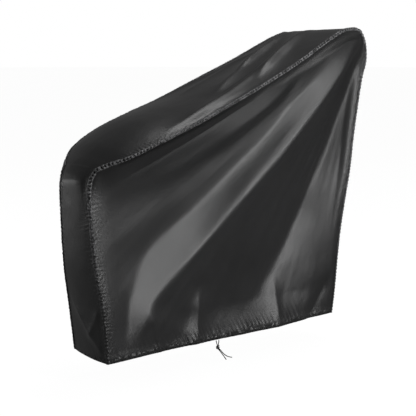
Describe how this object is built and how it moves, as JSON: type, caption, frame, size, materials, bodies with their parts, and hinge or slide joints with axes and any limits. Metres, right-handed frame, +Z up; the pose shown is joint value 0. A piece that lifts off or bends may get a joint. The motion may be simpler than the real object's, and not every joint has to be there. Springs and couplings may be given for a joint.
{
  "type": "exercise bike cover",
  "caption": "Fitted black cloth cover for an upright exercise bike, draped low over the saddle and high over the handlebars, with a gathered hem and knotted drawstring tails.",
  "frame": {"origin": "on the underside of the cover's top, in the centre plane, where the handlebars carry it", "axes": "+X towards the tall handlebar end, +Y across to the bike's left side, +Z up"},
  "size_m": [1.3842, 0.4668, 1.3334],
  "materials": {
    "cover_cloth": "satin coated woven polyester, black",
    "seam_tape": "woven binding tape, black, stitched",
    "drawstring": "matte braided cord, black"
  },
  "bodies": {
    "root": {"side_panel_right": "cover_cloth", "side_panel_left": "cover_cloth", "gusset_strip": "cover_cloth", "seam_binding_right": "seam_tape", "seam_binding_left": "seam_tape", "tie_lead_a": "drawstring", "tie_lead_b": "drawstring", "tie_knot": "drawstring", "tie_end_a": "drawstring", "tie_end_b": "drawstring"}
  },
  "joints": []
}
